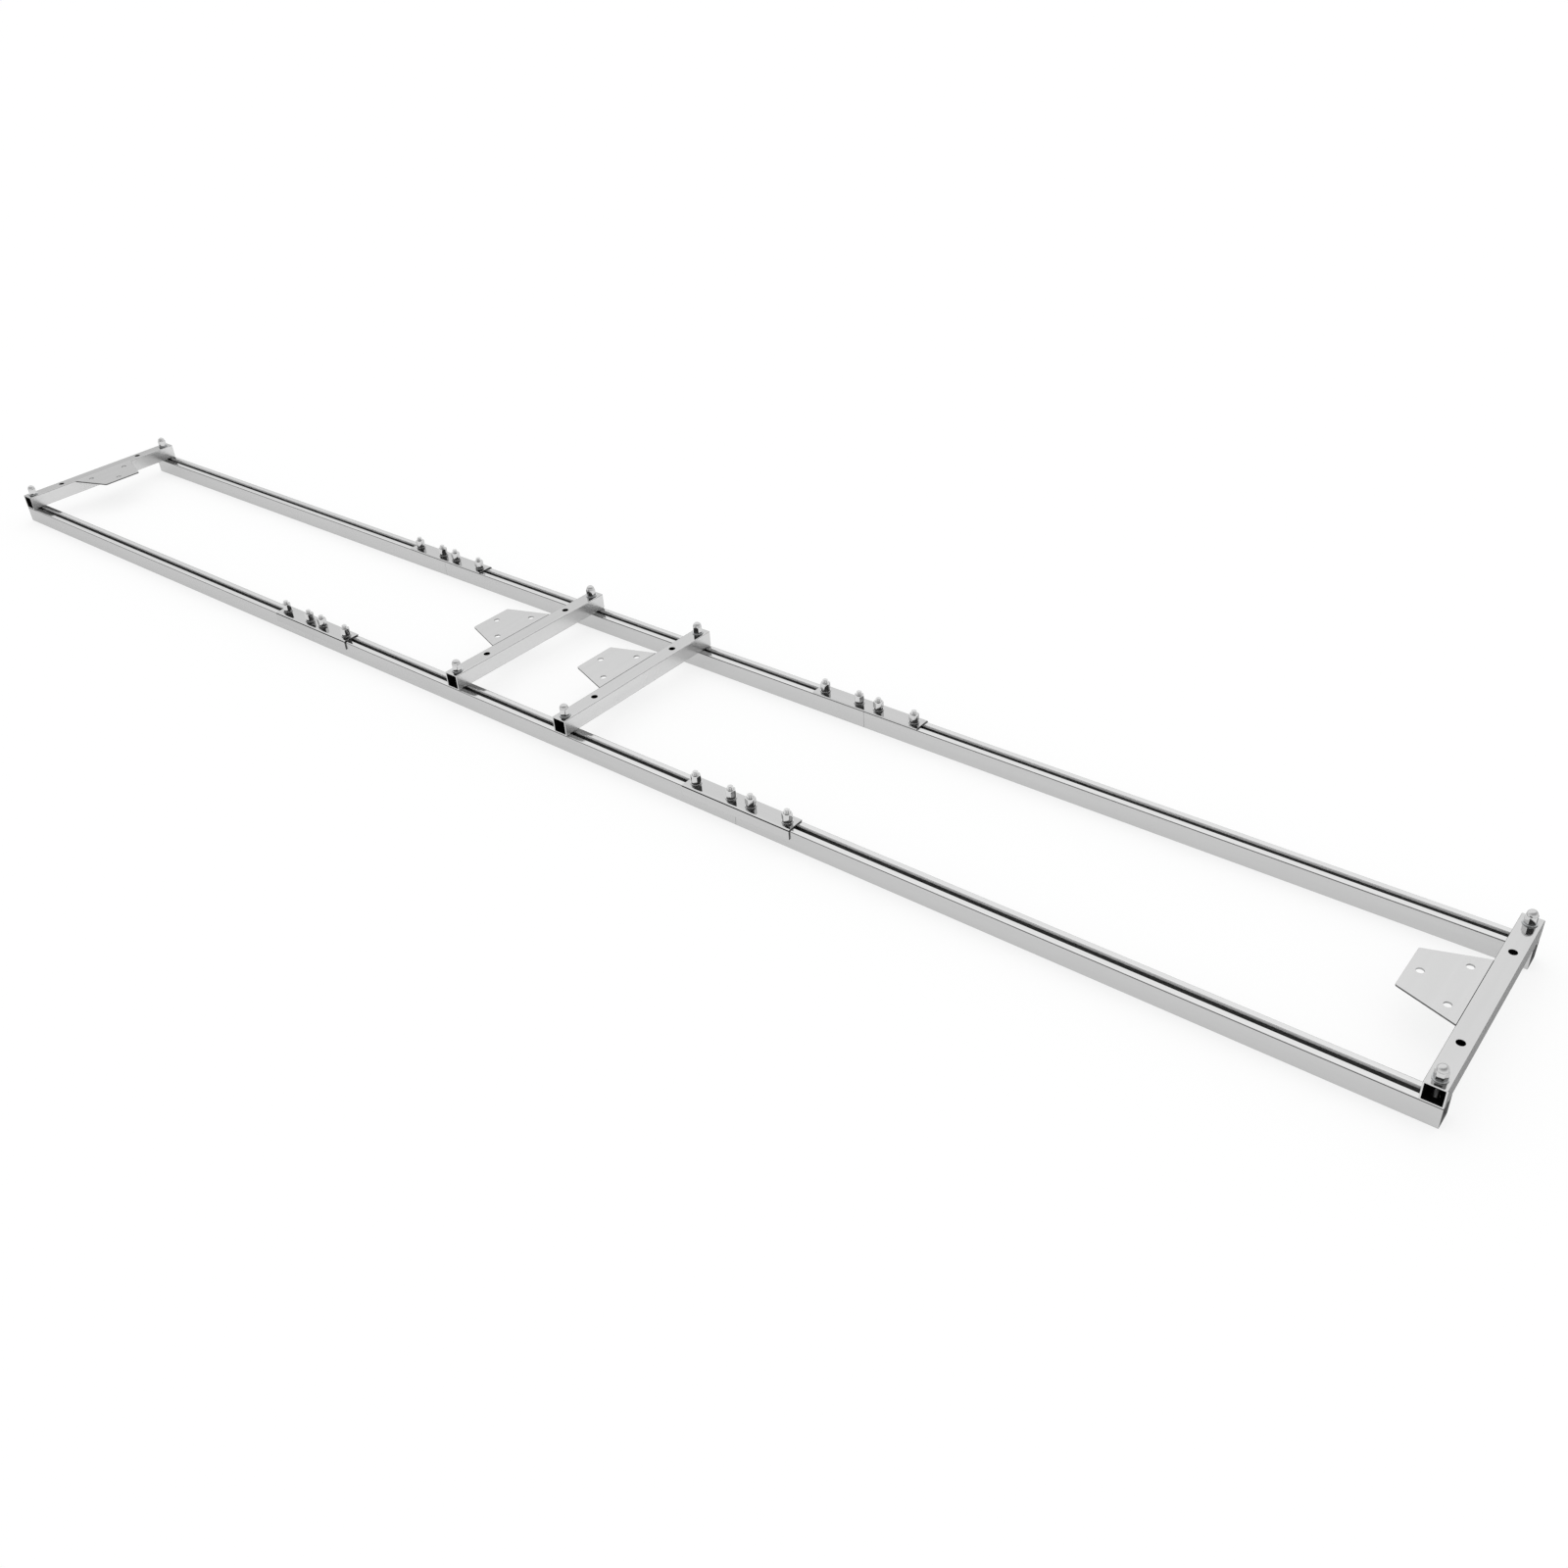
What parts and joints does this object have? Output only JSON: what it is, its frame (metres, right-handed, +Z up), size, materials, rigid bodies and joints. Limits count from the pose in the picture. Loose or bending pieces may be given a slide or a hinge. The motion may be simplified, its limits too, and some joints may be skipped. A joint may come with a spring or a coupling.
{
  "type": "chainsaw mill",
  "caption": "Ladder-shaped rail guide for a chainsaw mill: slotted rails in bolted sections, tied by crossbars that slide along the slots, each with a drilled screw plate.",
  "frame": {"origin": "bottom centre: midway along and between the rails, on the plane of the rail undersides", "axes": "+X along the rails towards the right end, +Y from the front rail to the back rail, +Z up out of the slots"},
  "size_m": [2.7432, 0.32, 0.0721],
  "materials": {
    "rail_metal": "satin sides, bright lips",
    "splice_metal": "polished",
    "crossbar_metal": "polished, fine grain",
    "plate_metal": "satin",
    "bolt_steel": "zinc plated, bright",
    "nut_steel": "polished"
  },
  "bodies": {
    "frame": {"front_rail_left": "rail_metal", "front_rail_middle": "rail_metal", "front_rail_right": "rail_metal", "back_rail_left": "rail_metal", "back_rail_middle": "rail_metal", "back_rail_right": "rail_metal", "front_splice_left": "splice_metal", "front_splice_right": "splice_metal", "back_splice_left": "splice_metal", "back_splice_right": "splice_metal", "front_splice_left_bolt_1": "bolt_steel", "front_splice_left_bolt_2": "bolt_steel", "front_splice_left_bolt_3": "bolt_steel", "front_splice_left_bolt_4": "bolt_steel", "front_splice_right_bolt_1": "bolt_steel", "front_splice_right_bolt_2": "bolt_steel", "front_splice_right_bolt_3": "bolt_steel", "front_splice_right_bolt_4": "bolt_steel", "back_splice_left_bolt_1": "bolt_steel", "back_splice_left_bolt_2": "bolt_steel", "back_splice_left_bolt_3": "bolt_steel", "back_splice_left_bolt_4": "bolt_steel", "back_splice_right_bolt_1": "bolt_steel", "back_splice_right_bolt_2": "bolt_steel", "back_splice_right_bolt_3": "bolt_steel", "back_splice_right_bolt_4": "bolt_steel"},
    "left_crossbar_set": {"left_crossbar": "crossbar_metal", "left_crossbar_plate": "plate_metal", "left_crossbar_front_bolt": "bolt_steel", "left_crossbar_front_washer": "bolt_steel", "left_crossbar_back_bolt": "bolt_steel", "left_crossbar_back_washer": "bolt_steel"},
    "mid_left_crossbar_set": {"mid_left_crossbar": "crossbar_metal", "mid_left_crossbar_plate": "plate_metal", "mid_left_crossbar_front_bolt": "bolt_steel", "mid_left_crossbar_front_washer": "bolt_steel", "mid_left_crossbar_back_bolt": "bolt_steel", "mid_left_crossbar_back_washer": "bolt_steel"},
    "mid_right_crossbar_set": {"mid_right_crossbar": "crossbar_metal", "mid_right_crossbar_plate": "plate_metal", "mid_right_crossbar_front_bolt": "bolt_steel", "mid_right_crossbar_front_washer": "bolt_steel", "mid_right_crossbar_back_bolt": "bolt_steel", "mid_right_crossbar_back_washer": "bolt_steel"},
    "right_crossbar_set": {"right_crossbar": "crossbar_metal", "right_crossbar_plate": "plate_metal", "right_crossbar_front_bolt": "bolt_steel", "right_crossbar_front_washer": "bolt_steel", "right_crossbar_back_bolt": "bolt_steel", "right_crossbar_back_washer": "bolt_steel"},
    "left_front_nut": {"left_crossbar_front_cap_nut": "nut_steel"},
    "left_back_nut": {"left_crossbar_back_cap_nut": "nut_steel"},
    "mid_left_front_nut": {"mid_left_crossbar_front_cap_nut": "nut_steel"},
    "mid_left_back_nut": {"mid_left_crossbar_back_cap_nut": "nut_steel"},
    "mid_right_front_nut": {"mid_right_crossbar_front_cap_nut": "nut_steel"},
    "mid_right_back_nut": {"mid_right_crossbar_back_cap_nut": "nut_steel"},
    "right_front_nut": {"right_crossbar_front_cap_nut": "nut_steel"},
    "right_back_nut": {"right_crossbar_back_cap_nut": "nut_steel"}
  },
  "joints": [
    {"name": "left_crossbar_slide", "type": "slide", "parent": "frame", "child": "left_crossbar_set", "axis": [1, 0, 0], "range_m": [0, 0.796]},
    {"name": "mid_left_crossbar_slide", "type": "slide", "parent": "frame", "child": "mid_left_crossbar_set", "axis": [1, 0, 0], "range_m": [-0.25, 0.067]},
    {"name": "mid_right_crossbar_slide", "type": "slide", "parent": "frame", "child": "mid_right_crossbar_set", "axis": [1, 0, 0], "range_m": [-0.067, 0.22]},
    {"name": "right_crossbar_slide", "type": "slide", "parent": "frame", "child": "right_crossbar_set", "axis": [1, 0, 0], "range_m": [-0.796, 0]},
    {"name": "left_front_nut_turn", "type": "hinge", "parent": "left_crossbar_set", "child": "left_front_nut", "pos_m": [-1.3591, -0.1445, 0.06], "axis": [0, 0, 1], "range_deg": [0, 720]},
    {"name": "left_back_nut_turn", "type": "hinge", "parent": "left_crossbar_set", "child": "left_back_nut", "pos_m": [-1.3591, 0.1445, 0.06], "axis": [0, 0, 1], "range_deg": [0, 720]},
    {"name": "mid_left_front_nut_turn", "type": "hinge", "parent": "mid_left_crossbar_set", "child": "mid_left_front_nut", "pos_m": [-0.101, -0.1445, 0.06], "axis": [0, 0, 1], "range_deg": [0, 720]},
    {"name": "mid_left_back_nut_turn", "type": "hinge", "parent": "mid_left_crossbar_set", "child": "mid_left_back_nut", "pos_m": [-0.101, 0.1445, 0.06], "axis": [0, 0, 1], "range_deg": [0, 720]},
    {"name": "mid_right_front_nut_turn", "type": "hinge", "parent": "mid_right_crossbar_set", "child": "mid_right_front_nut", "pos_m": [0.131, -0.1445, 0.06], "axis": [0, 0, 1], "range_deg": [0, 720]},
    {"name": "mid_right_back_nut_turn", "type": "hinge", "parent": "mid_right_crossbar_set", "child": "mid_right_back_nut", "pos_m": [0.131, 0.1445, 0.06], "axis": [0, 0, 1], "range_deg": [0, 720]},
    {"name": "right_front_nut_turn", "type": "hinge", "parent": "right_crossbar_set", "child": "right_front_nut", "pos_m": [1.3591, -0.1445, 0.06], "axis": [0, 0, 1], "range_deg": [0, 720]},
    {"name": "right_back_nut_turn", "type": "hinge", "parent": "right_crossbar_set", "child": "right_back_nut", "pos_m": [1.3591, 0.1445, 0.06], "axis": [0, 0, 1], "range_deg": [0, 720]}
  ]
}
